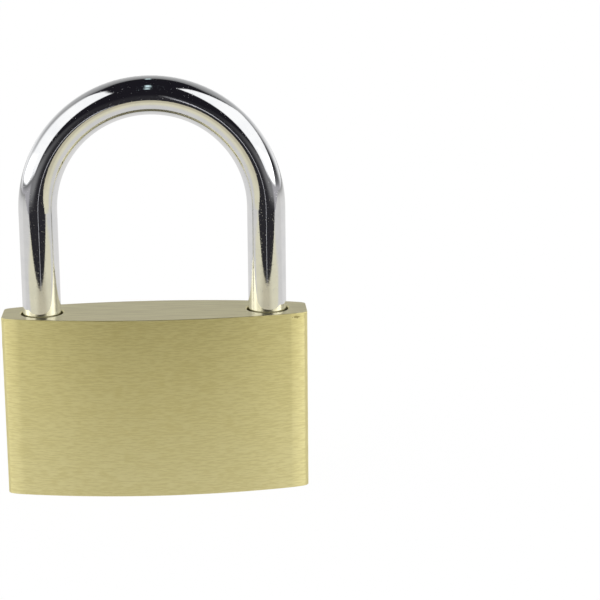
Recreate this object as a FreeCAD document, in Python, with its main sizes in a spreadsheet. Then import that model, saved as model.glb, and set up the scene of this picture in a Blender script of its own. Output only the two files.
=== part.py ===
import FreeCAD, Part
import os
import Sketcher

# Pin-tumbler padlock with a solid body, bowed front and back, and a round bar shackle.
# Origin at the middle of the bottom face. X runs along the width, Y through the thickness,
# with the front towards -Y, and Z up through the shackle. Sizes are in millimetres.
# The shackle is shut and the pin stacks stand at the shear line, as the right key sets them.

SIZES = {
    # solid body
    "bodyWidth": 60.0,
    "bodyHeight": 36.0,
    "middleThickness": 16.0,
    "sideThickness": 8.5,
    "cornerRadius": 1.1,
    "edgeRadius": 0.1,
    "blindFloor": 2.4,
    "boreEntry": 0.15,
    "fillerBevel": 0.05,
    "fillerGap": 0.4,
    "cutterOverrun": 1.0,
    # shackle
    "rodRadius": 3.75,
    "legSpacing": 44.5,
    "straightLength": 20.5,
    "shackleClearance": 0.4,
    "toeFoot": 1.8,
    "toeRise": 0.44,
    "toeFloorGap": 0.6,
    "endChamfer": 0.5,
    "neckRadius": 2.3,
    "footLength": 2.2,
    # spring bolts and their cross bore
    "latchDepth": 5.2,
    "latchRadius": 3.3,
    "latchClearance": 0.05,
    "latchTravel": 3.889,
    "noseHeight": 4.0,
    "noseLength": 1.7,
    "noseBevel": 0.7,
    "engagement": 0.8,
    "notchClearance": 0.25,
    "lapGap": 0.2,
    "tailWall": 1.8,
    "tailWeb": 0.9,
    "tailGap": 0.8,
    "slotClearance": 0.2,
    "slamClearance": 0.4,
    # bolt springs
    "latchSpringMean": 0.95,
    "latchSpringWire": 0.3,
    "latchSpringPocket": 1.25,
    "latchSpringDepth": 4.5,
    "latchSpringTurns": 11.0,
    # plug and its drive pins
    "plugRadius": 5.25,
    "plugClearance": 0.05,
    "plugRecess": 0.1,
    "plugTopGap": 0.25,
    "plugChamfer": 0.25,
    "drivePinRadius": 0.75,
    "drivePinDepth": 3.0,
    "drivePinReach": 1.5,
    "cavityGap": 0.3,
    # keyway
    "keyTipRoom": 1.9,
    "keywayBack": 4.2,
    "keywayFront": 3.3,
    "keywayHalf": 1.1,
    "wardHalf": 0.35,
    "wardStep": 1.2,
    # pin stacks
    "firstPinLevel": 3.3,
    "pinPitch": 3.5,
    "pinRadius": 1.45,
    "pinClearance": 0.05,
    "pinChamfer": 0.2,
    "keyPinCrown": 0.27,
    "keyPinCone": 0.8,
    "keyPinFlat": 0.5,
    "pinFloor": 0.0,
    "driverGap": 0.09,
    "driverLength": 4.6,
    "keyCut1": 2.9,
    "keyCut2": 2.1,
    "keyCut3": 1.3,
    "keyCut4": 2.5,
    "keyCut5": 1.7,
    "pinSpringMean": 1.05,
    "pinSpringWire": 0.3,
    "pinSpringTurns": 9.0,
    "chamberPlugLength": 8.0,
    # cross pins
    "retainerLand": 1.69,
    "retainerRadius": 1.1,
    "retainerBite": 1.1,
    "liftStopGap": 0.15,
    "grooveWall": 0.7,
    "groovePinRadius": 1.0,
    "grooveDepth": 1.05,
    "grooveClearance": 0.1,
    "groovePinGap": 0.25,
    # shackle spring
    "shackleSpringMean": 2.9,
    "shackleSpringWire": 0.65,
    "shackleSpringTurns": 5.5,
    "springEndGap": 0.05,
}

PIN_COUNT = 5
# Lengths below this count as nothing when edges are picked by their direction.
FLAT = 0.01

doc = FreeCAD.newDocument("Padlock")
sheet = doc.addObject("Spreadsheet::Sheet", "Sizes")
for row, (alias, size) in enumerate(SIZES.items(), start=1):
    sheet.set("A%d" % row, alias)
    sheet.set("B%d" % row, str(size))
    sheet.setAlias("B%d" % row, alias)
doc.recompute()


def cells(text):
    """Turn the size names in an expression into references to the sheet's cells."""
    words = []
    for word in text.split():
        if word in SIZES:
            words.append("Sizes." + word)
        else:
            words.append(word)
    return " ".join(words)


def value(text):
    return float(sheet.evalExpression(cells(text)))


def bind(item, path, text):
    item.setExpression(path, cells(text))


def place(item, x="0", y="0", z="0", axis=(0, 0, 1), angle=0):
    """Put a sub-part where its sizes say, turned by a fixed angle about its own origin."""
    rotation = FreeCAD.Rotation(FreeCAD.Vector(*axis), angle)
    item.Placement = FreeCAD.Placement(FreeCAD.Vector(), rotation)
    bind(item, "Placement.Base.x", x)
    bind(item, "Placement.Base.y", y)
    bind(item, "Placement.Base.z", z)


def new_body(label):
    body = doc.addObject("PartDesign::Body", label)
    body.Label = label
    return body


def new_sketch(body, name, plane, offset="0", shift="0"):
    """A sketch on one of the body's origin planes, moved off it and along its first axis."""
    sketch = body.newObject("Sketcher::SketchObject", name)
    support = [item for item in body.Origin.OriginFeatures if item.Role == plane][0]
    sketch.AttachmentSupport = (support, [""])
    sketch.MapMode = "FlatFace"
    bind(sketch, "AttachmentOffset.Base.z", offset)
    bind(sketch, "AttachmentOffset.Base.x", shift)
    return sketch


def hold_distance(sketch, kind, geometry, point, distance):
    """Fix how far a point lies from the sketch's origin, along one of its axes."""
    constraint = Sketcher.Constraint(kind, -1, 1, geometry, point, value(distance))
    index = sketch.addConstraint(constraint)
    bind(sketch, "Constraints[%d]" % index, distance)


def hold_point(sketch, geometry, point, x, y):
    hold_distance(sketch, "DistanceX", geometry, point, x)
    hold_distance(sketch, "DistanceY", geometry, point, y)


def hold_radius(sketch, geometry, radius):
    index = sketch.addConstraint(Sketcher.Constraint("Radius", geometry, value(radius)))
    bind(sketch, "Constraints[%d]" % index, radius)


def draw_circle(sketch, x, y, radius):
    centre = FreeCAD.Vector(value(x), value(y), 0)
    circle = Part.Circle(centre, FreeCAD.Vector(0, 0, 1), value(radius))
    geometry = sketch.addGeometry(circle)
    hold_radius(sketch, geometry, radius)
    hold_point(sketch, geometry, 3, x, y)


def draw_polygon(sketch, corners):
    """A closed outline of straight lines, each corner held by two sizes."""
    points = [FreeCAD.Vector(value(x), value(y), 0) for x, y in corners]
    count = len(points)
    first = sketch.GeometryCount
    for index in range(count):
        sketch.addGeometry(Part.LineSegment(points[index], points[(index + 1) % count]))
    for index in range(count):
        joined = first + (index + 1) % count
        sketch.addConstraint(Sketcher.Constraint("Coincident", first + index, 2, joined, 1))
    for index, (x, y) in enumerate(corners):
        hold_point(sketch, first + index, 1, x, y)


def draw_box(sketch, low_x, low_y, high_x, high_y):
    draw_polygon(sketch, [(low_x, low_y), (high_x, low_y), (high_x, high_y), (low_x, high_y)])


def pad(body, name, sketch, length):
    feature = body.newObject("PartDesign::Pad", name)
    feature.Profile = sketch
    bind(feature, "Length", length)
    return feature


def pocket(body, name, sketch, length, upward=False, both_ways=False):
    """Cut a sketch into the body, against its normal unless upward is set."""
    feature = body.newObject("PartDesign::Pocket", name)
    feature.Profile = sketch
    bind(feature, "Length", length)
    feature.Reversed = upward
    feature.Midplane = both_ways
    return feature


def drill(body, name, plane, at, x, y, radius, depth, upward=False):
    """A round hole that starts at a given distance from an origin plane."""
    sketch = new_sketch(body, name + "_circle", plane, at)
    draw_circle(sketch, x, y, radius)
    return pocket(body, name, sketch, depth, upward)


def turned(label, profile):
    """A turned piece about its own Z axis, from an outline of radius and height."""
    body = new_body(label)
    sketch = new_sketch(body, label + "_profile", "XZ_Plane")
    draw_polygon(sketch, profile)
    feature = body.newObject("PartDesign::Revolution", label + "_turning")
    feature.Profile = sketch
    feature.ReferenceAxis = (sketch, ["V_Axis"])
    feature.Angle = 360
    return body


def pin_profile(radius, length, start_chamfer, end_chamfer):
    """Half section of a plain pin, with its two ends broken."""
    return [
        ("0", "0"),
        (radius + " - " + start_chamfer, "0"),
        (radius, start_chamfer),
        (radius, length + " - " + end_chamfer),
        (radius + " - " + end_chamfer, length),
        ("0", length),
    ]


def coil(label, mean, wire, length, turns, x, y, z, axis, angle):
    """A compression spring along its own Z axis, between two faces a length apart."""
    clear = "( %s - 2 * springEndGap - %s )" % (length, wire)
    start = "( springEndGap + %s / 2 )" % wire
    rotation = FreeCAD.Rotation(FreeCAD.Vector(*axis), angle)
    run = rotation.multVec(FreeCAD.Vector(0, 0, 1))
    side = rotation.multVec(FreeCAD.Vector(1, 0, 0))
    helix = doc.addObject("Part::Helix", label + "_helix")
    bind(helix, "Pitch", "%s / %s" % (clear, turns))
    bind(helix, "Height", clear)
    bind(helix, "Radius", mean)
    section = doc.addObject("Part::Circle", label + "_section")
    bind(section, "Radius", wire + " / 2")
    section.Placement.Rotation = rotation.multiply(FreeCAD.Rotation(FreeCAD.Vector(1, 0, 0), 90))
    helix.Placement.Rotation = rotation
    for number, centre in enumerate((x, y, z)):
        base = "( %s ) + %.1f * %s" % (centre, round(run[number]), start)
        path = "Placement.Base." + "xyz"[number]
        bind(helix, path, base)
        bind(section, path, "%s + %.1f * %s" % (base, round(side[number]), mean))
    sweep = doc.addObject("Part::Sweep", label)
    sweep.Label = label
    sweep.Sections = [section]
    sweep.Spine = (helix, ["Edge1"])
    sweep.Solid = True
    sweep.Frenet = True
    return sweep


def upright_edges(shape):
    """Names of the edges that stand parallel to Z."""
    names = []
    for number, edge in enumerate(shape.Edges, start=1):
        box = edge.BoundBox
        if box.ZLength > FLAT and box.XLength < FLAT and box.YLength < FLAT:
            names.append("Edge%d" % number)
    return names


def level_edges(shape):
    """Names of the edges that lie flat, all round the top and the bottom."""
    names = []
    for number, edge in enumerate(shape.Edges, start=1):
        if edge.BoundBox.ZLength < FLAT:
            names.append("Edge%d" % number)
    return names


def round_edges(body, name, base, names, radius):
    feature = body.newObject("PartDesign::Fillet", name)
    feature.Base = (base, names)
    bind(feature, "Radius", radius)
    return feature


def pin_level(number):
    return "( firstPinLevel + %d * pinPitch )" % (number - 1)


# places that more than one piece takes its size from
HALF_WIDTH = "( bodyWidth / 2 )"
LEG_X = "( legSpacing / 2 )"
SHACKLE_BORE = "( rodRadius + shackleClearance )"
LATCH_BORE = "( latchRadius + latchClearance )"
PLUG_BORE = "( plugRadius + plugClearance )"
CHAMBER = "( pinRadius + pinClearance )"
# The cross holes run on into the plug's bore as far as this.
CROSS_END = "( plugRadius / 2 )"
LATCH_LEVEL = "( bodyHeight - latchDepth )"
# The shackle rises in proportion to the bolts' travel, so each notch has this much play
# under the nose, and the lift takes the short leg clear of the top.
NOSE_DEPTH = "( latchDepth + noseHeight / 2 + notchClearance + toeFoot + toeRise )"
LIFT = "( %s / ( 1 - engagement / latchTravel ) )" % NOSE_DEPTH
NOTCH_PLAY = "( %s * engagement / latchTravel )" % LIFT
NOTCH_TOP = "( %s + noseHeight / 2 + notchClearance )" % LATCH_LEVEL
NOTCH_FLOOR = "( %s - noseHeight / 2 - %s - notchClearance )" % (LATCH_LEVEL, NOTCH_PLAY)
TOE_END = "( %s - toeFoot )" % NOTCH_FLOOR
NECK_TOP = "( %s - retainerLand )" % NOTCH_FLOOR
RETAINER_LEVEL = "( %s - liftStopGap - retainerRadius )" % NECK_TOP
FOOT_TOP = "( %s - retainerRadius - liftStopGap - %s )" % (RETAINER_LEVEL, LIFT)
FOOT_END = "( %s - footLength )" % FOOT_TOP
RETAINER_TIP = "( legSpacing / 2 - rodRadius + retainerBite )"
PLUG_TOP = "( %s - %s - plugTopGap )" % (LATCH_LEVEL, LATCH_BORE)
DRIVE_PIN_AT = "( latchTravel / 2 )"
DRIVE_PIN_TOP = "( %s + drivePinReach )" % LATCH_LEVEL
CAVITY_TOP = "( %s + cavityGap )" % DRIVE_PIN_TOP
KEYWAY_TOP = "( firstPinLevel + %d * pinPitch + keyTipRoom )" % (PIN_COUNT - 1)
GROOVE_HALF = "( groovePinRadius + grooveClearance )"
GROOVE_LEVEL = "( %s + grooveWall + %s )" % (KEYWAY_TOP, GROOVE_HALF)
NOSE_TIP = "( legSpacing / 2 - rodRadius + engagement )"
SLOT_START = "( latchTravel / 2 - drivePinRadius - slotClearance )"
SLOT_END = "( latchTravel / 2 + drivePinRadius + engagement + slamClearance )"
TAIL_END = "( latchTravel / 2 - drivePinRadius - slotClearance - tailWall )"
SHOULDER = "( 2 * latchTravel - %s + tailGap )" % TAIL_END
SPRING_SEAT = "( %s + latchSpringDepth )" % SHOULDER
SPRING_SIDE = "( ( latchRadius + lapGap / 2 ) / 2 )"
SHEAR_OUT = "( plugRadius + driverGap )"
DRIVER_END = "( plugRadius + driverGap + driverLength )"
CHAMBER_PLUG_AT = "( bodyWidth / 2 - chamberPlugLength )"


def make_lock_body():
    body = new_body("lock_body")
    outline = new_sketch(body, "outline", "XY_Plane")
    x = value(HALF_WIDTH)
    y = value("sideThickness / 2")
    crown = value("middleThickness / 2")
    corners = [(x, y), (-x, y), (-x, -y), (x, -y)]
    points = [FreeCAD.Vector(*corner, 0) for corner in corners]
    back = Part.Arc(points[0], FreeCAD.Vector(0, crown, 0), points[1])
    front = Part.Arc(points[2], FreeCAD.Vector(0, -crown, 0), points[3])
    outline.addGeometry(back)
    outline.addGeometry(Part.LineSegment(points[1], points[2]))
    outline.addGeometry(front)
    outline.addGeometry(Part.LineSegment(points[3], points[0]))
    for first, end, second, start in ((0, 2, 1, 1), (1, 2, 2, 1), (2, 2, 3, 1), (3, 2, 0, 1)):
        outline.addConstraint(Sketcher.Constraint("Coincident", first, end, second, start))
    half_side = "( sideThickness / 2 )"
    hold_point(outline, 1, 1, "- " + HALF_WIDTH, half_side)
    hold_point(outline, 1, 2, "- " + HALF_WIDTH, "- " + half_side)
    hold_point(outline, 3, 1, HALF_WIDTH, "- " + half_side)
    hold_point(outline, 3, 2, HALF_WIDTH, half_side)
    bow = "( ( middleThickness - sideThickness ) / 2 )"
    bow_radius = "( {0} * {0} + {1} * {1} ) / ( 2 * {1} )".format(HALF_WIDTH, bow)
    hold_radius(outline, 0, bow_radius)
    hold_radius(outline, 2, bow_radius)
    block = pad(body, "block", outline, "bodyHeight")
    doc.recompute()
    rounded = round_edges(body, "corners", block, upright_edges(block.Shape), "cornerRadius")
    doc.recompute()
    round_edges(body, "rims", rounded, level_edges(rounded.Shape), "edgeRadius")
    doc.recompute()
    drill_body(body)
    return body


def drill_body(body):
    """The bores, in the order in which they are drilled."""
    toe_depth = "bodyHeight - %s + toeFloorGap" % TOE_END
    heel_depth = "bodyHeight - blindFloor"
    top = "bodyHeight"
    drill(body, "toe_bore", "XY_Plane", top, LEG_X, "0", SHACKLE_BORE, toe_depth)
    drill(body, "heel_bore", "XY_Plane", top, "- " + LEG_X, "0", SHACKLE_BORE, heel_depth)
    drill(body, "plug_bore", "XY_Plane", "0", "0", "0", PLUG_BORE, CAVITY_TOP, upward=True)
    reach = LEG_X + " + " + HALF_WIDTH
    drill(body, "latch_bore", "YZ_Plane", "- " + HALF_WIDTH, "0", LATCH_LEVEL, LATCH_BORE,
          reach, upward=True)
    for number in range(1, PIN_COUNT + 1):
        drill(body, "chamber_%d" % number, "YZ_Plane", HALF_WIDTH, "0", pin_level(number),
              CHAMBER, HALF_WIDTH + " - " + CROSS_END)
    drill(body, "groove_pin_hole", "YZ_Plane", HALF_WIDTH, "0", GROOVE_LEVEL,
          "groovePinRadius", HALF_WIDTH + " - " + CROSS_END)
    drill(body, "retainer_hole", "YZ_Plane", "- " + CROSS_END, "0", RETAINER_LEVEL,
          "retainerRadius", LEG_X + " - " + CROSS_END)
    for side, centre in (("toe", LEG_X), ("heel", "- " + LEG_X)):
        sketch = new_sketch(body, side + "_entry", "XZ_Plane", shift=centre)
        wide = SHACKLE_BORE + " + boreEntry"
        corners = [("0", top), (wide, top), (SHACKLE_BORE, top + " - boreEntry")]
        draw_polygon(sketch, corners + [("0", top + " - boreEntry")])
        groove = body.newObject("PartDesign::Groove", side + "_bevel")
        groove.Profile = sketch
        groove.ReferenceAxis = (sketch, ["V_Axis"])
        groove.Angle = 360


def make_shackle():
    body = new_body("shackle")
    section = new_sketch(body, "bar_section", "XY_Plane", TOE_END)
    draw_circle(section, LEG_X, "0", "rodRadius")
    path = new_sketch(body, "bar_path", "XZ_Plane")
    x = value(LEG_X)
    shoulder = "( bodyHeight + straightLength )"
    level = value(shoulder)
    toe = FreeCAD.Vector(x, value(TOE_END), 0)
    heel = FreeCAD.Vector(-x, value(FOOT_END), 0)
    right = FreeCAD.Vector(x, level, 0)
    left = FreeCAD.Vector(-x, level, 0)
    path.addGeometry(Part.LineSegment(toe, right))
    path.addGeometry(Part.Arc(right, FreeCAD.Vector(0, level + x, 0), left))
    path.addGeometry(Part.LineSegment(left, heel))
    path.addConstraint(Sketcher.Constraint("Coincident", 0, 2, 1, 1))
    path.addConstraint(Sketcher.Constraint("Coincident", 1, 2, 2, 1))
    hold_point(path, 0, 1, LEG_X, TOE_END)
    hold_point(path, 0, 2, LEG_X, shoulder)
    hold_point(path, 2, 1, "- " + LEG_X, shoulder)
    hold_point(path, 2, 2, "- " + LEG_X, FOOT_END)
    hold_distance(path, "DistanceY", 1, 3, shoulder)
    bar = body.newObject("PartDesign::AdditivePipe", "bar")
    bar.Profile = section
    bar.Spine = (path, ["Edge1", "Edge2", "Edge3"])
    doc.recompute()
    ends = [edge for edge in range(len(bar.Shape.Edges)) if is_bar_end(bar.Shape.Edges[edge])]
    bevel = body.newObject("PartDesign::Chamfer", "bar_ends")
    bevel.Base = (bar, ["Edge%d" % (edge + 1) for edge in ends])
    bind(bevel, "Size", "endChamfer")
    doc.recompute()
    cut_neck(body)
    cut_notches(body)
    return body


def is_bar_end(edge):
    """True for the two round rims at the free ends of the bar."""
    if edge.BoundBox.ZLength > FLAT:
        return False
    low = min(value(TOE_END), value(FOOT_END))
    return low - FLAT <= edge.BoundBox.ZMin <= value(TOE_END) + FLAT


def cut_neck(body):
    """Turned neck above the foot of the long leg, which the retaining pin runs in."""
    sketch = new_sketch(body, "neck_section", "XZ_Plane", shift="- " + LEG_X)
    draw_box(sketch, "neckRadius", FOOT_TOP, "rodRadius + cutterOverrun", NECK_TOP)
    groove = body.newObject("PartDesign::Groove", "neck")
    groove.Profile = sketch
    groove.ReferenceAxis = (sketch, ["V_Axis"])
    groove.Angle = 360


def cut_notches(body):
    """Flat notches on the inner side of both legs, for the noses of the two bolts."""
    floor_x = "( %s + notchClearance )" % NOSE_TIP
    inner_x = "( %s - rodRadius - cutterOverrun )" % LEG_X
    sketch = new_sketch(body, "toe_notch_outline", "XZ_Plane")
    draw_box(sketch, inner_x, NOTCH_FLOOR, floor_x, NOTCH_TOP)
    pocket(body, "toe_notch", sketch, "2 * rodRadius + 2 * cutterOverrun", both_ways=True)
    sketch = new_sketch(body, "heel_notch_outline", "XZ_Plane")
    draw_box(sketch, "- " + floor_x, NOTCH_FLOOR, "- " + inner_x, NOTCH_TOP)
    pocket(body, "heel_notch", sketch, "2 * rodRadius + 2 * cutterOverrun", both_ways=True)


def make_latch(label, angle):
    """A spring bolt with its nose towards its own +X and its lapped tail on its own +Y side."""
    body = new_body(label)
    section = new_sketch(body, label + "_section", "YZ_Plane", TAIL_END)
    draw_circle(section, "0", "0", "latchRadius")
    pad(body, label + "_bar", section, "%s - %s" % (NOSE_TIP, TAIL_END))
    wide = "( latchRadius + cutterOverrun )"
    through = "2 * latchRadius + 2 * cutterOverrun"
    lap = new_sketch(body, label + "_lap_outline", "XY_Plane")
    draw_box(lap, TAIL_END + " - cutterOverrun", "- " + wide, SHOULDER, "lapGap / 2")
    pocket(body, label + "_lap", lap, through, both_ways=True)
    slot = new_sketch(body, label + "_slot_outline", "XY_Plane")
    draw_box(slot, SLOT_START, "lapGap / 2 + tailWeb", SLOT_END, wide)
    pocket(body, label + "_slot", slot, through, both_ways=True)
    nose_back = "( %s - noseLength )" % NOSE_TIP
    beyond = "( %s + cutterOverrun )" % NOSE_TIP
    half = "( noseHeight / 2 )"
    over = new_sketch(body, label + "_top_outline", "XZ_Plane")
    draw_polygon(over, [(nose_back, half), (NOSE_TIP + " - noseBevel", half),
                        (NOSE_TIP, half + " - noseBevel"), (beyond, half + " - noseBevel"),
                        (beyond, wide), (nose_back, wide)])
    pocket(body, label + "_top", over, through, both_ways=True)
    under = new_sketch(body, label + "_under_outline", "XZ_Plane")
    draw_box(under, nose_back, "- " + wide, beyond, "- " + half)
    pocket(body, label + "_under", under, through, both_ways=True)
    drill(body, label + "_seat", "YZ_Plane", SHOULDER, "- " + SPRING_SIDE, "0",
          "latchSpringPocket", "latchSpringDepth", upward=True)
    place(body, z=LATCH_LEVEL, angle=angle)
    return body


def make_latch_springs():
    """Each spring sits in one bolt's shoulder and bears on the tail of the other."""
    length = "( %s + %s )" % (SPRING_SEAT, TAIL_END)
    springs = []
    for label, side, turn in (("latch_spring_right", 1, 90), ("latch_spring_left", -1, -90)):
        start = "%d * ( - 1 * %s )" % (side, TAIL_END)
        offset = "%d * %s" % (-side, SPRING_SIDE)
        springs.append(coil(label, "latchSpringMean", "latchSpringWire", length,
                            "latchSpringTurns", start, offset, LATCH_LEVEL, (0, 1, 0), turn))
    return springs


def make_plug():
    body = new_body("plug")
    section = new_sketch(body, "plug_section", "XZ_Plane")
    draw_polygon(section, plug_profile())
    turning = body.newObject("PartDesign::Revolution", "plug_turning")
    turning.Profile = section
    turning.ReferenceAxis = (section, ["V_Axis"])
    turning.Angle = 360
    keyway = new_sketch(body, "keyway_outline", "XY_Plane")
    draw_polygon(keyway, keyway_outline())
    pocket(body, "keyway", keyway, KEYWAY_TOP, upward=True)
    for number in range(1, PIN_COUNT + 1):
        drill(body, "plug_chamber_%d" % number, "YZ_Plane", "plugRadius + cutterOverrun", "0",
              pin_level(number), CHAMBER, "plugRadius + cutterOverrun - pinFloor")
    for side in (1, -1):
        at = "%d * %s" % (side, DRIVE_PIN_AT)
        drill(body, "drive_pin_hole_%s" % ("right" if side > 0 else "left"), "XY_Plane",
              PLUG_TOP, at, at, "drivePinRadius", "drivePinDepth")
    return body


def plug_profile():
    """Half section of the plug, with the groove that its retaining pin runs in."""
    groove_floor = "plugRadius - grooveDepth"
    return [
        ("0", "plugRecess"),
        ("plugRadius - plugChamfer", "plugRecess"),
        ("plugRadius", "plugRecess + plugChamfer"),
        ("plugRadius", GROOVE_LEVEL + " - " + GROOVE_HALF),
        (groove_floor, GROOVE_LEVEL + " - " + GROOVE_HALF),
        (groove_floor, GROOVE_LEVEL + " + " + GROOVE_HALF),
        ("plugRadius", GROOVE_LEVEL + " + " + GROOVE_HALF),
        ("plugRadius", PLUG_TOP + " - plugChamfer"),
        ("plugRadius - plugChamfer", PLUG_TOP),
        ("0", PLUG_TOP),
    ]


def keyway_outline():
    """Outline of the keyway: a straight slot with one ward from each side."""
    return [
        ("- keywayBack", "- keywayHalf"),
        ("- wardStep", "- keywayHalf"),
        ("- wardStep", "- wardHalf"),
        ("0", "- wardHalf"),
        ("0", "- keywayHalf"),
        ("keywayFront", "- keywayHalf"),
        ("keywayFront", "keywayHalf"),
        ("2 * wardStep", "keywayHalf"),
        ("2 * wardStep", "wardHalf"),
        ("wardStep", "wardHalf"),
        ("wardStep", "keywayHalf"),
        ("- keywayBack", "keywayHalf"),
    ]


def make_drive_pins():
    length = "( %s - %s + drivePinDepth )" % (DRIVE_PIN_TOP, PLUG_TOP)
    pins = []
    for label, side in (("drive_pin_right", 1), ("drive_pin_left", -1)):
        pin = turned(label, pin_profile("drivePinRadius", length, "pinChamfer", "pinChamfer"))
        at = "%d * %s" % (side, DRIVE_PIN_AT)
        place(pin, at, at, PLUG_TOP + " - drivePinDepth")
        pins.append(pin)
    return pins


def make_pin_stack(number):
    """Key pin, driver pin, spring and the filler that closes their chamber."""
    level = pin_level(number)
    cut = "keyCut%d" % number
    key_length = "( plugRadius - keyPinCrown - %s )" % cut
    key_profile = [
        ("0", "0"),
        ("keyPinFlat", "0"),
        ("pinRadius", "keyPinCone"),
        ("pinRadius", key_length + " - pinChamfer"),
        ("pinRadius - pinChamfer", key_length),
        ("0", key_length),
    ]
    key_pin = turned("key_pin_%d" % number, key_profile)
    place(key_pin, x=cut, z=level, axis=(0, 1, 0), angle=90)
    driver = turned("driver_pin_%d" % number,
                    pin_profile("pinRadius", "driverLength", "pinChamfer", "pinChamfer"))
    place(driver, x=SHEAR_OUT, z=level, axis=(0, 1, 0), angle=90)
    spring_length = "( %s - %s )" % (CHAMBER_PLUG_AT, DRIVER_END)
    spring = coil("pin_spring_%d" % number, "pinSpringMean", "pinSpringWire", spring_length,
                  "pinSpringTurns", DRIVER_END, "0", level, (0, 1, 0), 90)
    filler = turned("chamber_plug_%d" % number,
                    pin_profile(CHAMBER, "chamberPlugLength", "pinChamfer", "fillerBevel"))
    place(filler, x=CHAMBER_PLUG_AT, z=level, axis=(0, 1, 0), angle=90)
    return [key_pin, driver, spring, filler]


def make_latch_bore_plug():
    """Filler in the mouth of the cross bore, clear of the long leg's bore."""
    length = "( %s - %s - %s - fillerGap )" % (HALF_WIDTH, LEG_X, SHACKLE_BORE)
    filler = turned("latch_bore_plug",
                    pin_profile(LATCH_BORE, length, "pinChamfer", "fillerBevel"))
    place(filler, x="- " + HALF_WIDTH + " + " + length, z=LATCH_LEVEL, axis=(0, 1, 0), angle=-90)
    return filler


def make_shackle_retaining_pin():
    """Cross pin from the plug's bore into the long leg's bore, where it runs in the neck."""
    length = "( %s - %s - plugClearance )" % (RETAINER_TIP, PLUG_BORE)
    pin = turned("shackle_retaining_pin",
                 pin_profile("retainerRadius", length, "pinChamfer", "pinChamfer"))
    place(pin, x="- %s - plugClearance" % PLUG_BORE, z=RETAINER_LEVEL, axis=(0, 1, 0), angle=-90)
    return pin


def make_plug_retaining_pin():
    """Long cross pin from the narrow side into the plug's groove."""
    tip = "( plugRadius - grooveDepth + groovePinGap )"
    length = "( %s - %s )" % (HALF_WIDTH, tip)
    pin = turned("plug_retaining_pin",
                 pin_profile("groovePinRadius", length, "pinChamfer", "fillerBevel"))
    place(pin, x=tip, z=GROOVE_LEVEL, axis=(0, 1, 0), angle=90)
    return pin


def make_shackle_spring():
    return coil("shackle_spring", "shackleSpringMean", "shackleSpringWire",
                "( %s - blindFloor )" % FOOT_END, "shackleSpringTurns",
                "- " + LEG_X, "0", "blindFloor", (0, 0, 1), 0)


def check(parts):
    """Stop before anything is written if a feature failed or a solid is not sound."""
    for item in doc.Objects:
        if "Invalid" in item.State or "Error" in item.State:
            raise RuntimeError("%s failed: %s" % (item.Name, item.State))
    for part in parts:
        shape = part.Shape
        if shape.isNull() or not shape.isValid() or len(shape.Solids) != 1:
            raise RuntimeError("%s has no sound solid" % part.Label)


subparts = [make_lock_body(), make_shackle(), make_plug()]
subparts.append(make_latch("latch_right", 0))
subparts.append(make_latch("latch_left", 180))
subparts += make_latch_springs()
subparts += make_drive_pins()
for stack in range(1, PIN_COUNT + 1):
    subparts += make_pin_stack(stack)
subparts.append(make_latch_bore_plug())
subparts.append(make_shackle_retaining_pin())
subparts.append(make_plug_retaining_pin())
subparts.append(make_shackle_spring())
doc.recompute()
check(subparts)

os.makedirs("parts", exist_ok=True)
for part in subparts:
    part.Shape.exportStep("parts/%s.step" % part.Label)
    print("%-24s %9.3f mm3" % (part.Label, part.Shape.Volume))
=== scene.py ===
import bmesh
import bpy
import math
from mathutils import Matrix, Vector

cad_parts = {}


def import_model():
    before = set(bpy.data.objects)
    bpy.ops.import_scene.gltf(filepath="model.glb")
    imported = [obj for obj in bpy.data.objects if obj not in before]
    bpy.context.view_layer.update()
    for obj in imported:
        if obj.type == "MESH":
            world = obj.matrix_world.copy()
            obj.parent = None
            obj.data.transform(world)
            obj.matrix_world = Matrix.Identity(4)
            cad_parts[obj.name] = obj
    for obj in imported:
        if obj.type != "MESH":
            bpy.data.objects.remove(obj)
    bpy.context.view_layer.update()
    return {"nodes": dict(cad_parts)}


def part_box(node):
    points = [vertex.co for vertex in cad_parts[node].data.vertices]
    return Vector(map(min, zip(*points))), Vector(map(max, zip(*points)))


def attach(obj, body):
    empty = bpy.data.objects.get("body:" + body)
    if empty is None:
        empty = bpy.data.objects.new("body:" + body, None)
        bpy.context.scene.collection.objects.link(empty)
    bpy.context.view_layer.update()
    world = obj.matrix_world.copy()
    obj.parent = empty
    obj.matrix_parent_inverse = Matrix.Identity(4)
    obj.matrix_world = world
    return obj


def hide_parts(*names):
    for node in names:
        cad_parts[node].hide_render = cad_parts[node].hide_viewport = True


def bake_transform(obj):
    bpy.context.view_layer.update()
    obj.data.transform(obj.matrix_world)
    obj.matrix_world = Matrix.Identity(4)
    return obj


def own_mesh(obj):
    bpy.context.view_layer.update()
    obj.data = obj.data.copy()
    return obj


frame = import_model()
nodes = frame["nodes"]
print("frame loaded:", len(nodes), "nodes")


def addNode(tree, kind, inputs=None, **settings):
    made = tree.nodes.new(kind)
    for name, what in settings.items():
        setattr(made, name, what)
    for key, what in (inputs or {}).items():
        if isinstance(what, bpy.types.NodeSocket):
            tree.links.new(what, made.inputs[key])
        else:
            made.inputs[key].default_value = what
    return made


def calc(tree, operation, first, second=0.0, third=None):
    inputs = {0: first, 1: second}
    if third is not None:
        inputs[2] = third
    return addNode(tree, "ShaderNodeMath", inputs, operation=operation).outputs[0]


def product(tree, *values):
    total = values[0]
    for value in values[1:]:
        total = calc(tree, "MULTIPLY", total, value)
    return total


def ramp(tree, value, low, high, lowResult=0.0, highResult=1.0):
    # soft step from lowResult to highResult as value goes from low to high
    made = addNode(tree, "ShaderNodeMapRange", {"Value": value, "From Min": low, "From Max": high,
                                                "To Min": lowResult, "To Max": highResult},
                   interpolation_type="SMOOTHSTEP")
    return made.outputs["Result"]


def past(tree, value, edge, soft):
    # 0 before the edge and 1 past it, with a soft change on both sides
    return ramp(tree, calc(tree, "SUBTRACT", value, edge), -soft, soft)


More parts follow.
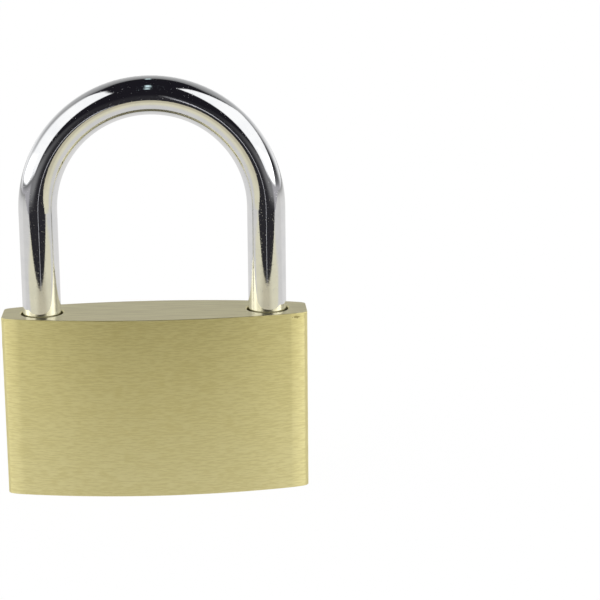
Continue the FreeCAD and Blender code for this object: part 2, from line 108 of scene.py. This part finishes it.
def before(tree, value, edge, soft):
    # the other way round: 1 before the edge and 0 past it
    return past(tree, edge, value, soft)


def bowed(tree, value, centre, height, bend):
    # an arch: height at the centre, lower by bend times the distance squared
    away = calc(tree, "SUBTRACT", value, centre)
    return calc(tree, "MULTIPLY_ADD", product(tree, away, away), -bend, height)


def blendColor(tree, share, first, second):
    made = addNode(tree, "ShaderNodeMix", data_type="RGBA")
    for socket, what in ((made.inputs[0], share), (made.inputs[6], first), (made.inputs[7], second)):
        if isinstance(what, bpy.types.NodeSocket):
            tree.links.new(what, socket)
        else:
            socket.default_value = what if isinstance(what, float) else (*what, 1.0)
    return made.outputs[2]


def blendVector(tree, share, first, second):
    made = addNode(tree, "ShaderNodeMix", data_type="VECTOR")
    for socket, what in ((made.inputs[0], share), (made.inputs[4], first), (made.inputs[5], second)):
        tree.links.new(what, socket)
    return made.outputs[1]


def noise(tree, place, scale, detail=2.0, roughness=0.5):
    made = addNode(tree, "ShaderNodeTexNoise", {"Vector": place, "Scale": scale, "Detail": detail,
                                                "Roughness": roughness})
    return made.outputs["Fac"]


def stretched(tree, place, scale):
    return addNode(tree, "ShaderNodeMapping", {"Vector": place, "Scale": scale}).outputs["Vector"]


def split(tree, vector):
    made = addNode(tree, "ShaderNodeSeparateXYZ", {"Vector": vector})
    return made.outputs["X"], made.outputs["Y"], made.outputs["Z"]


def joined(tree, x, y, z=0.0):
    return addNode(tree, "ShaderNodeCombineXYZ", {"X": x, "Y": y, "Z": z}).outputs["Vector"]


def grey(tree, level):
    return addNode(tree, "ShaderNodeCombineColor", {"Red": level, "Green": level, "Blue": level}).outputs[0]


def newMaterial(name):
    made = bpy.data.materials.new(name)
    made.use_nodes = True
    tree = made.node_tree
    return made, tree, tree.nodes["Principled BSDF"], addNode(tree, "ShaderNodeTexCoord").outputs["Object"]


def addGrooves(tree, shader, height, strength, depth):
    bump = addNode(tree, "ShaderNodeBump", {"Strength": strength, "Distance": depth, "Height": height})
    tree.links.new(bump.outputs["Normal"], shader.inputs["Normal"])


knockWithPaintedShade = {
    "place": (0.0277, 0.0352),
    "size": (1300.0, 3600.0),       # per metre: one over its half width and half height
    "raggedMarks": 3600.0,
    "raggedness": 1.8,
    "rim": (1.55, 1.95),
    # painted shade: the knock's colour darkens it as if shaded in its hollow
    "color": (0.30, 0.24, 0.08),
    "share": 0.75,
    "depth": 2.0,                   # times the brushed lines' own
}


def makeKnock(tree, place):
    # one small ragged knock near the right-hand top corner; its mask dents the metal and darkens its colour as
    # painted shade
    knock = knockWithPaintedShade
    x, y, z = split(tree, place)
    across = calc(tree, "MULTIPLY", calc(tree, "SUBTRACT", x, knock["place"][0]), knock["size"][0])
    upwards = calc(tree, "MULTIPLY", calc(tree, "SUBTRACT", z, knock["place"][1]), knock["size"][1])
    squares = calc(tree, "ADD", product(tree, across, across), product(tree, upwards, upwards))
    marks = noise(tree, place, knock["raggedMarks"], 2.0, 0.6)
    ragged = calc(tree, "MULTIPLY_ADD", marks, knock["raggedness"], calc(tree, "SQRT", squares))
    return ramp(tree, ragged, *knock["rim"], 1.0, 0.0)


brushedBrass = {
    "color": (1.0, 0.915, 0.475),
    "shade": (0.885, 0.795, 0.372),
    # painted light: the top and bottom faces are tinted paler and greyer than the long faces, the look their
    # lighting gives them
    "paintedEndTint": (1.0, 0.94, 0.62),
    "paintedEndShadeTint": (0.84, 0.77, 0.48),
    "roughness": 0.27,
    "roughnessSpread": 0.2,
    "anisotropic": 0.72,
    "sideFacing": (0.6, 0.8),             # how squarely it faces where the finish begins and is whole
    "endFacing": (0.6, 0.9),
    "fineLines": (600.0, 4300.0, 10.0),   # per metre: along, across and into the metal
    "broadLines": (250.0, 2300.0, 10.0),
    "patches": (90.0, 420.0, 10.0),
    "shares": (0.52, 0.36, 0.12),         # of fine lines, broad lines and patches
    "toneRange": (0.41, 0.58),
    "endGrain": (0.25, 0.75, 0.0),        # both ends were finished on a coarser belt
    "slices": (0.1, 0.3, 0.5),            # faces, ends and narrow sides each show their own pattern
    "grooves": 0.4,
    "grooveDepth": 0.00003,
}


def layGrain(tree, place, narrowSide, flatEnd):
    # the lines run along X on the long faces and both ends, and upright on the narrow sides
    x, y, z = split(tree, place)
    faceSlice, endSlice, sideSlice = brushedBrass["slices"]
    alongFace = joined(tree, x, z, faceSlice)
    coarse = stretched(tree, place, brushedBrass["endGrain"])
    alongEnd = addNode(tree, "ShaderNodeVectorMath", {0: coarse, 1: (0.0, 0.0, endSlice)}, operation="ADD")
    alongSide = joined(tree, z, y, sideSlice)
    return blendVector(tree, narrowSide, blendVector(tree, flatEnd, alongFace, alongEnd.outputs[0]), alongSide)


def makeBrushedBrass():
    finish = brushedBrass
    material, tree, shader, place = newMaterial("brushedBrass")
    facing = split(tree, addNode(tree, "ShaderNodeNewGeometry").outputs["Normal"])
    narrowSide = ramp(tree, calc(tree, "ABSOLUTE", facing[0]), *finish["sideFacing"])
    flatEnd = ramp(tree, calc(tree, "ABSOLUTE", facing[2]), *finish["endFacing"])
    grain = layGrain(tree, place, narrowSide, flatEnd)
    lines = noise(tree, stretched(tree, grain, finish["fineLines"]), 1.0, 2.0)
    broadLines = noise(tree, stretched(tree, grain, finish["broadLines"]), 1.0, 3.0)
    patches = noise(tree, stretched(tree, grain, finish["patches"]), 1.0, 2.0)
    fineShare, broadShare, patchShare = finish["shares"]
    tone = calc(tree, "MULTIPLY_ADD", broadLines, broadShare, calc(tree, "MULTIPLY", patches, patchShare))
    tone = calc(tree, "MULTIPLY_ADD", lines, fineShare, tone)
    share = ramp(tree, tone, *finish["toneRange"])
    # painted light: on the top and bottom the streaks take the paler, greyer end tint, standing in for how
    # those faces are lit
    color = blendColor(tree, flatEnd, blendColor(tree, share, finish["shade"], finish["color"]),
                       blendColor(tree, share, finish["paintedEndShadeTint"], finish["paintedEndTint"]))
    knock = makeKnock(tree, place)
    # painted shade: the knock darkens the brass colour as the dent's shading would, while its dent comes from
    # the grooves below
    color = blendColor(tree, calc(tree, "MULTIPLY", knock, knockWithPaintedShade["share"]), color, knockWithPaintedShade["color"])
    tree.links.new(color, shader.inputs["Base Color"])
    shader.inputs["Metallic"].default_value = 1.0
    tree.links.new(calc(tree, "MULTIPLY_ADD", tone, finish["roughnessSpread"], finish["roughness"]),
                   shader.inputs["Roughness"])
    shader.inputs["Anisotropic"].default_value = finish["anisotropic"]
    # the sheen spreads across the brushing: up the faces, and front to back on the ends and the narrow sides
    upright = calc(tree, "SUBTRACT", 1.0, narrowSide)
    tree.links.new(joined(tree, 0.02, 1.0, upright), shader.inputs["Tangent"])
    height = calc(tree, "SUBTRACT", lines, calc(tree, "MULTIPLY", knock, knockWithPaintedShade["depth"]))
    addGrooves(tree, shader, height, finish["grooves"], finish["grooveDepth"])
    return material


def makeMarkedMetal(name, finish, marksAt):
    # bare metal whose colour, roughness and grooves all follow the same fine marks
    material, tree, shader, place = newMaterial(name)
    marks = marksAt(tree, place)
    share = ramp(tree, marks, *finish["marksRange"])
    tree.links.new(blendColor(tree, share, finish["shade"], finish["color"]), shader.inputs["Base Color"])
    shader.inputs["Metallic"].default_value = 1.0
    tree.links.new(calc(tree, "MULTIPLY_ADD", marks, finish["roughnessSpread"], finish["roughness"]),
                   shader.inputs["Roughness"])
    addGrooves(tree, shader, marks, finish["grooves"], finish["grooveDepth"])
    return material


turnedBrass = {
    "color": (0.74, 0.62, 0.24),
    "shade": (0.60, 0.48, 0.16),
    "marksRange": (0.3, 0.7),
    "roughness": 0.21,
    "roughnessSpread": 0.14,
    "grooves": 0.3,
    "grooveDepth": 0.00002,
    "ringsPerMetre": 4200.0,
    "wanderPerMetre": 350.0,
}


def makeTurnedBrass(name, axis):
    # fine lathe rings round the given axis: 0 for X, 2 for Z
    def rings(tree, place):
        along = calc(tree, "MULTIPLY", split(tree, place)[axis], turnedBrass["ringsPerMetre"])
        wander = noise(tree, place, turnedBrass["wanderPerMetre"])
        return noise(tree, joined(tree, along, wander), 1.0)
    return makeMarkedMetal(name, turnedBrass, rings)


groundSteel = {
    "color": (0.56, 0.56, 0.57),
    "shade": (0.40, 0.40, 0.41),
    "marksRange": (0.3, 0.7),
    "roughness": 0.2,
    "roughnessSpread": 0.2,
    "grooves": 0.25,
    "grooveDepth": 0.00002,
    "marksPerMetre": (700.0, 2600.0, 2600.0),
}


def makeGroundSteel():
    def scratches(tree, place):
        return noise(tree, stretched(tree, place, groundSteel["marksPerMetre"]), 1.0, 4.0, 0.65)
    return makeMarkedMetal("groundSteel", groundSteel, scratches)


springWire = {
    "color": (0.47, 0.47, 0.49),
    "shade": (0.30, 0.30, 0.32),
    "marksRange": (0.3, 0.75),
    "roughness": 0.22,
    "roughnessSpread": 0.2,
    "grooves": 0.2,
    "grooveDepth": 0.00001,
    "marksPerMetre": 5200.0,
}


def makeSpringWire():
    def drawMarks(tree, place):
        return noise(tree, place, springWire["marksPerMetre"], 3.0, 0.6)
    return makeMarkedMetal("springWire", springWire, drawMarks)


chromePlate = {
    "color": (0.86, 0.865, 0.87),
    "haze": (0.80, 0.81, 0.825),
    "cloudsPerMetre": 300.0,
    "cloudRange": (0.35, 0.7),
    "ripplesPerMetre": 2300.0,
    "pitsPerMetre": 3800.0,
    "pitRange": (0.68, 0.76),
    "roughness": 0.025,
    "cloudRoughness": 0.03,
    "pitRoughness": 0.25,
    "grooves": 0.08,
    "grooveDepth": 0.00002,
}


def makeChromePlate():
    finish = chromePlate
    material, tree, shader, place = newMaterial("chromePlate")
    cloud = noise(tree, place, finish["cloudsPerMetre"], 4.0, 0.6)
    ripple = noise(tree, place, finish["ripplesPerMetre"], 3.0, 0.6)
    pits = ramp(tree, noise(tree, place, finish["pitsPerMetre"], 1.0, 0.4), *finish["pitRange"])
    color = blendColor(tree, ramp(tree, cloud, *finish["cloudRange"]), finish["color"], finish["haze"])
    tree.links.new(color, shader.inputs["Base Color"])
    shader.inputs["Metallic"].default_value = 1.0
    rough = calc(tree, "ADD", calc(tree, "MULTIPLY_ADD", cloud, finish["cloudRoughness"], finish["roughness"]),
                 calc(tree, "MULTIPLY", pits, finish["pitRoughness"]))
    tree.links.new(rough, shader.inputs["Roughness"])
    addGrooves(tree, shader, calc(tree, "SUBTRACT", ripple, pits), finish["grooves"], finish["grooveDepth"])
    return material


def placePiece(name, mesh, material, node):
    mesh.materials.clear()
    mesh.materials.append(material)
    piece = bpy.data.objects.new(name, mesh)
    bpy.context.scene.collection.objects.link(piece)
    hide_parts(node)
    return piece


brassBlock = {
    "easeStart": 0.0266,            # from the middle of the lock to where the long faces begin to fall away
    "easeDepth": 0.00046,
    "easeFull": 0.004,              # no easing on the middle plane, all of it this far out
    "cuts": 9,
    "lastCut": 0.0011,              # from the narrow side
    "cutTolerance": 0.0000001,
    "weldDistance": 0.0000005,
    "sharpAngle": 35.0,
    "normalWeight": 90,
}


def makeBrassBlock(brass):
    # the solid body, with its long faces eased off towards the upright corners as a belt leaves them
    block = brassBlock
    start, halfWidth = block["easeStart"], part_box("lock_body")[1].x
    mesh = nodes["lock_body"].data.copy()
    mesh.name = "brass_block"
    if "custom_normal" in mesh.attributes:
        mesh.attributes.remove(mesh.attributes["custom_normal"])
    shape = bmesh.new()
    shape.from_mesh(mesh)
    bmesh.ops.remove_doubles(shape, verts=shape.verts[:], dist=block["weldDistance"])
    for side in (-1, 1):
        for cut in range(block["cuts"]):
            x = start + (halfWidth - block["lastCut"] - start) * cut / (block["cuts"] - 1)
            everything = shape.verts[:] + shape.edges[:] + shape.faces[:]
            bmesh.ops.bisect_plane(shape, geom=everything, dist=block["cutTolerance"],
                                   plane_co=(side * x, 0, 0), plane_no=(1, 0, 0))
    for vert in shape.verts:
        share = max(0.0, (abs(vert.co.x) - start) / (halfWidth - start))
        weight = min(1.0, abs(vert.co.y) / block["easeFull"])
        vert.co.y -= math.copysign(block["easeDepth"] * share ** 2 * weight, vert.co.y)
    shape.to_mesh(mesh)
    shape.free()
    mesh.shade_smooth()
    mesh.set_sharp_from_angle(angle=math.radians(block["sharpAngle"]))
    piece = placePiece("brass_block", mesh, brass, "lock_body")
    weighted = piece.modifiers.new("faceNormals", "WEIGHTED_NORMAL")
    weighted.keep_sharp = True
    weighted.weight = block["normalWeight"]
    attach(piece, "body")


def makeCoil(node, wire):
    # a coil of its own, on its own copy of the mesh
    return placePiece(node + "_coil", nodes[node].data.copy(), wire, node)


def makeBoltSprings(wire):
    # each coil sits in one bolt and rides with it on a mesh of its own; in the lock it is squeezed from both
    # ends, so it loses the travel of both bolts
    for side in ("right", "left"):
        node, joint = "latch_spring_" + side, "latch_" + side + "_slide"
        piece = makeCoil(node, wire)
        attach(piece, side + "_bolt")
        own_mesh(piece)


pinStacks = 5


def makeStretchedSprings(wire):
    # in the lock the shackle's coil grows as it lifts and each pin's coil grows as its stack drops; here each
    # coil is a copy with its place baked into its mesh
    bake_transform(makeCoil("shackle_spring", wire))
    for number in range(1, pinStacks + 1):
        node = "pin_spring_%d" % number
        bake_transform(makeCoil(node, wire))


def dress(name, material):
    piece = nodes[name]
    piece.data.materials.clear()
    piece.data.materials.append(material)


def dressPieces():
    brass = makeBrushedBrass()
    turnedUp = makeTurnedBrass("turnedBrassUpright", 2)
    turnedAcross = makeTurnedBrass("turnedBrassLevel", 0)
    chrome = makeChromePlate()
    steel = makeGroundSteel()
    wire = makeSpringWire()
    makeBrassBlock(brass)
    makeBoltSprings(wire)
    makeStretchedSprings(wire)
    for name in nodes:
        if "spring" in name:
            dress(name, wire)
        elif name == "shackle":
            dress(name, chrome)
        elif name in ("lock_body", "latch_bore_plug") or "chamber_plug" in name:
            dress(name, brass)
        elif name == "plug":
            dress(name, turnedUp)
        elif "key_pin" in name or "driver_pin" in name:
            dress(name, turnedAcross)
        else:
            dress(name, steel)


dressPieces()
print("finishes made")


def makeCard(name, corners, *unseenBy):
    # a flat sheet of the studio, left out of the kinds of ray that are named
    mesh = bpy.data.meshes.new(name)
    mesh.from_pydata(corners, [], [(0, 1, 2, 3)])
    card = bpy.data.objects.new(name, mesh)
    bpy.context.scene.collection.objects.link(card)
    for kind in unseenBy:
        setattr(card, "visible_" + kind, False)
    return card


def levelCorners(lowX, lowY, highX, highY, z):
    return [(lowX, lowY, z), (highX, lowY, z), (highX, highY, z), (lowX, highY, z)]


def coverCard(card, name):
    # a material with no shader yet, put on the card
    made = bpy.data.materials.new(name)
    made.use_nodes = True
    made.node_tree.nodes.clear()
    card.data.materials.append(made)
    return made.node_tree


floorPlan = {
    "half": 1.5,
    "glow": 0.97,
    "glowColor": (1.0, 1.0, 1.0, 1.0),
    "paint": (0.06, 0.06, 0.06, 1.0),
}


def makeFloor():
    # plain pale floor, clear when seen from below so that the bottom of the lock shows
    plan = floorPlan
    corners = levelCorners(-plan["half"], -plan["half"], plan["half"], plan["half"], 0.0)
    tree = coverCard(makeCard("floor", corners, "glossy"), "paleFloor")
    paint = addNode(tree, "ShaderNodeBsdfDiffuse", {"Color": plan["paint"]})
    glow = addNode(tree, "ShaderNodeEmission", {"Color": plan["glowColor"], "Strength": plan["glow"]})
    both = addNode(tree, "ShaderNodeAddShader", {0: paint.outputs[0], 1: glow.outputs[0]})
    clear = addNode(tree, "ShaderNodeBsdfTransparent")
    back = addNode(tree, "ShaderNodeNewGeometry").outputs["Backfacing"]
    pick = addNode(tree, "ShaderNodeMixShader", {0: back, 1: both.outputs[0], 2: clear.outputs[0]})
    addNode(tree, "ShaderNodeOutputMaterial", {"Surface": pick.outputs[0]})


mirroredTable = {
    "frontEdge": -0.181,
    "z": -0.0006,
    "color": (0.69, 0.68, 0.665),
    "back": (0.77, 0.76, 0.75),
    "backFrom": (0.035, 0.03),      # each edge with how soft it is
    "cream": (0.76, 0.725, 0.55),
    "creamUpTo": (-0.062, 0.02),
    "creamAside": (0.21, 0.03),
    # painted shade: a darker tan patch on the table in front of the lock, where shade falls on it
    "paintedTableShade": (0.57, 0.527, 0.39),
    "paintedTableShadeUpTo": (-0.108, 0.02),
    "paintedTableShadeAside": (0.075, 0.045),
    "fade": (0.25, 1.3, 1.0, 0.45),   # between two distances, from one level to the other
}


def makeMirroredTable():
    # the pale table as the metal sees it: it ends a little in front of the lock, and in front of the lock it
    # carries a darker tan patch of painted shade
    plan, half = mirroredTable, floorPlan["half"]
    corners = levelCorners(-half, plan["frontEdge"], half, half, plan["z"])
    tree = coverCard(makeCard("tableReflection", corners, "camera", "shadow", "diffuse"), "tableGlow")
    place = addNode(tree, "ShaderNodeTexCoord").outputs["Object"]
    x, y, z = split(tree, place)
    aside = calc(tree, "ABSOLUTE", x)
    cream = product(tree, before(tree, y, *plan["creamUpTo"]), before(tree, aside, *plan["creamAside"]))
    # painted shade on the table in front of the lock
    paintedTableShade = product(tree, before(tree, y, *plan["paintedTableShadeUpTo"]), before(tree, aside, *plan["paintedTableShadeAside"]))
    color = blendColor(tree, past(tree, y, *plan["backFrom"]), plan["color"], plan["back"])
    color = blendColor(tree, cream, color, plan["cream"])
    color = blendColor(tree, paintedTableShade, color, plan["paintedTableShade"])
    far = addNode(tree, "ShaderNodeVectorMath", {0: place}, operation="LENGTH").outputs["Value"]
    glow = addNode(tree, "ShaderNodeEmission", {"Color": color, "Strength": ramp(tree, far, *plan["fade"])})
    addNode(tree, "ShaderNodeOutputMaterial", {"Surface": glow.outputs[0]})


gapLight = {
    "x": 0.0085,
    "y": -0.36,
    "width": 0.010,
    "low": -0.06,
    "high": 0.14,
    "color": (0.95, 0.95, 1.0, 1.0),
    "strength": 0.75,
    "dimming": (0.02, 0.08),        # over this height it falls to dimmedShare
    "dimmedShare": 0.25,
    "fadeFrom": 0.09,
}


def makeGapLight():
    # thin upright line of light beside the camera, seen only in the plated bar
    gap = gapLight
    left, right, y = gap["x"] - gap["width"] / 2, gap["x"] + gap["width"] / 2, gap["y"]
    corners = [(left, y, gap["low"]), (right, y, gap["low"]), (right, y, gap["high"]), (left, y, gap["high"])]
    tree = coverCard(makeCard("gapLight", corners, "camera", "shadow", "diffuse"), "gapGlow")
    height = split(tree, addNode(tree, "ShaderNodeTexCoord").outputs["Object"])[2]
    dimmed = ramp(tree, height, *gap["dimming"], gap["strength"], gap["strength"] * gap["dimmedShare"])
    faded = product(tree, dimmed, ramp(tree, height, gap["fadeFrom"], gap["high"], 1.0, 0.0))
    glow = addNode(tree, "ShaderNodeEmission", {"Color": gap["color"], "Strength": faded})
    addNode(tree, "ShaderNodeOutputMaterial", {"Surface": glow.outputs[0]})


# directions are in degrees: turn is 0 in front and grows to the right, rise is above the horizon
leftPanel = {
    "outerEdge": (-113.0, 14.0),    # each edge with how soft it is
    "innerLean": (0.354, -44.0),    # the inner edge's slope, and its turn at the horizon
    "innerSoft": 2.5,
    "bow": (-75.0, 64.0, 0.0069),   # the top edge's centre, height and bend
    "bowSoft": 1.8,
    "foot": (3.0, 1.8),
}

rightPanel = {
    "innerLean": (-0.16, 36.0),
    "innerSoft": 2.5,
    "bow": (57.0, 66.0, 0.0066),
    "bowSoft": 1.8,
    "foot": 0.8,
    "footLean": (0.65, -46.8),      # far out, the foot climbs at this slope
    "footSoft": 2.0,
}


def sidePanels(tree, turn, rise):
    # two soft boxes: how much of each direction they fill
    panel = leftPanel
    inner = calc(tree, "MULTIPLY_ADD", rise, *panel["innerLean"])
    left = product(tree, past(tree, turn, *panel["outerEdge"]), before(tree, turn, inner, panel["innerSoft"]),
                   before(tree, rise, bowed(tree, turn, *panel["bow"]), panel["bowSoft"]),
                   past(tree, rise, *panel["foot"]))
    panel = rightPanel
    inner = calc(tree, "MULTIPLY_ADD", rise, *panel["innerLean"])
    foot = calc(tree, "MAXIMUM", calc(tree, "MULTIPLY_ADD", turn, *panel["footLean"]), panel["foot"])
    right = product(tree, past(tree, turn, inner, panel["innerSoft"]),
                    before(tree, rise, bowed(tree, turn, *panel["bow"]), panel["bowSoft"]),
                    past(tree, rise, foot, panel["footSoft"]))
    return calc(tree, "MAXIMUM", left, right)


panelLamps = {
    "cloth": 1.12,                  # brightness of the cloth, and what the lamps behind it add
    "lamps": 1.8,
    "rightSpread": (44.0, 66.0),
    "leftSpread": (-84.0, -60.0),
    "top": (13.0, 5.0),
}


def panelLevel(tree, turn, rise):
    # the lamps behind the cloth of both panels make them brighter low down and far out
    lamps = panelLamps
    spread = calc(tree, "MAXIMUM", ramp(tree, turn, *lamps["rightSpread"]),
                  ramp(tree, turn, *lamps["leftSpread"], 1.0, 0.0))
    return calc(tree, "MULTIPLY_ADD", product(tree, spread, before(tree, rise, *lamps["top"])),
                lamps["lamps"], lamps["cloth"])


ceilingLamp = {
    "color": (0.74, 0.93, 0.95),
    "leftEdge": (-0.052, 0.010),    # sideways it is the direction's own x, not degrees
    "rightEdges": (-0.006, -0.018),
    "rightSoft": 0.012,
    "bottoms": ((53.0, 2.5), (41.0, 1.5)),
    "tops": ((67.0, 3.0), (47.5, 2.0)),
}


def lampShare(tree, x, rise):
    # a small lamp overhead in two parts, the lower one narrower
    lamp = ceilingLamp
    parts = []
    for rightEdge, bottom, top in zip(lamp["rightEdges"], lamp["bottoms"], lamp["tops"]):
        sideways = product(tree, past(tree, x, *lamp["leftEdge"]),
                           before(tree, x, rightEdge, lamp["rightSoft"]))
        parts.append(product(tree, sideways, past(tree, rise, *bottom), before(tree, rise, *top)))
    return calc(tree, "MAXIMUM", *parts)


backSheet = {
    "from": (118.0, 18.0),
    "top": (60.0, 4.0),
    "lowLevels": (0.0, 32.0, 0.95, 0.46),   # between two rises, from one level to the other
    "highLoss": (32.0, 60.0, 0.0, 0.18),
}

surroundings = {
    "dark": (0.0125, 0.0115, 0.0155),
    "white": (1.0, 1.0, 1.0),
    "lowSides": (0.42, 0.41, 0.43),
    "lowSidesFrom": (50.0, 6.0),
    "lowSidesTop": (0.0, 2.0),
    "front": 0.014,                 # how much of white
    "frontTop": (4.0, 8.0),
    "frontAside": (46.0, 8.0),
    "haze": 0.2,
    "hazeAside": (4.0, 34.0),
    "hazeFoot": (-8.0, 3.0),
    "hazeTop": (4.0, 7.0),
}


def makeStudioLight():
    world = bpy.data.worlds.new("studio")
    bpy.context.scene.world = world
    world.use_nodes = True
    tree = world.node_tree
    tree.nodes.clear()
    x, y, z = split(tree, addNode(tree, "ShaderNodeTexCoord").outputs["Generated"])
    turn = calc(tree, "DEGREES", calc(tree, "ARCTAN2", x, calc(tree, "MULTIPLY", y, -1.0)))
    rise = calc(tree, "DEGREES", calc(tree, "ARCSINE", z))
    wide = calc(tree, "ABSOLUTE", turn)

    sheet, room = backSheet, surroundings
    white = room["white"]
    back = product(tree, past(tree, wide, *sheet["from"]), before(tree, rise, *sheet["top"]))
    backLevel = calc(tree, "SUBTRACT", ramp(tree, rise, *sheet["lowLevels"]),
                     ramp(tree, rise, *sheet["highLoss"]))
    lowSides = product(tree, past(tree, wide, *room["lowSidesFrom"]), before(tree, rise, *room["lowSidesTop"]))
    front = product(tree, before(tree, rise, *room["frontTop"]), before(tree, wide, *room["frontAside"]))
    haze = product(tree, ramp(tree, wide, *room["hazeAside"]), past(tree, rise, *room["hazeFoot"]),
                   before(tree, rise, *room["hazeTop"]))

    color = blendColor(tree, calc(tree, "MULTIPLY", haze, room["haze"]), room["dark"], white)
    color = blendColor(tree, calc(tree, "MULTIPLY", front, room["front"]), color, white)
    color = blendColor(tree, lampShare(tree, x, rise), color, ceilingLamp["color"])
    color = blendColor(tree, lowSides, color, room["lowSides"])
    color = blendColor(tree, back, color, grey(tree, backLevel))
    color = blendColor(tree, sidePanels(tree, turn, rise), color, grey(tree, panelLevel(tree, turn, rise)))
    seen = addNode(tree, "ShaderNodeLightPath").outputs["Is Camera Ray"]
    color = blendColor(tree, seen, color, white)
    glow = addNode(tree, "ShaderNodeBackground", {"Color": color, "Strength": 1.0})
    addNode(tree, "ShaderNodeOutputWorld", {"Surface": glow.outputs[0]})


makeFloor()
makeMirroredTable()
makeGapLight()
makeStudioLight()
print("studio made")


cameraView = {
    "location": (0.00845, -0.3595, 0.12694),
    "yaw": 0.0564,
    "pitch": 0.2436,
    "roll": -0.0078,
    "lens": 112.07,
    "sensor": 36.0,
}


def makeCamera():
    yaw, pitch, roll = cameraView["yaw"], cameraView["pitch"], cameraView["roll"]
    ahead = Vector((math.sin(yaw) * math.cos(pitch), math.cos(yaw) * math.cos(pitch), -math.sin(pitch)))
    across = Vector((math.cos(yaw), -math.sin(yaw), 0.0))
    above = across.cross(ahead)
    right = math.cos(roll) * across + math.sin(roll) * above
    up = -math.sin(roll) * across + math.cos(roll) * above
    data = bpy.data.cameras.new("camera")
    data.lens = cameraView["lens"]
    data.sensor_width = cameraView["sensor"]
    camera = bpy.data.objects.new("camera", data)
    bpy.context.scene.collection.objects.link(camera)
    camera.matrix_world = Matrix((right, up, -ahead)).transposed().to_4x4()
    camera.location = cameraView["location"]
    bpy.context.scene.camera = camera


makeCamera()
bpy.context.scene.view_settings.view_transform = "Standard"
print("camera set")
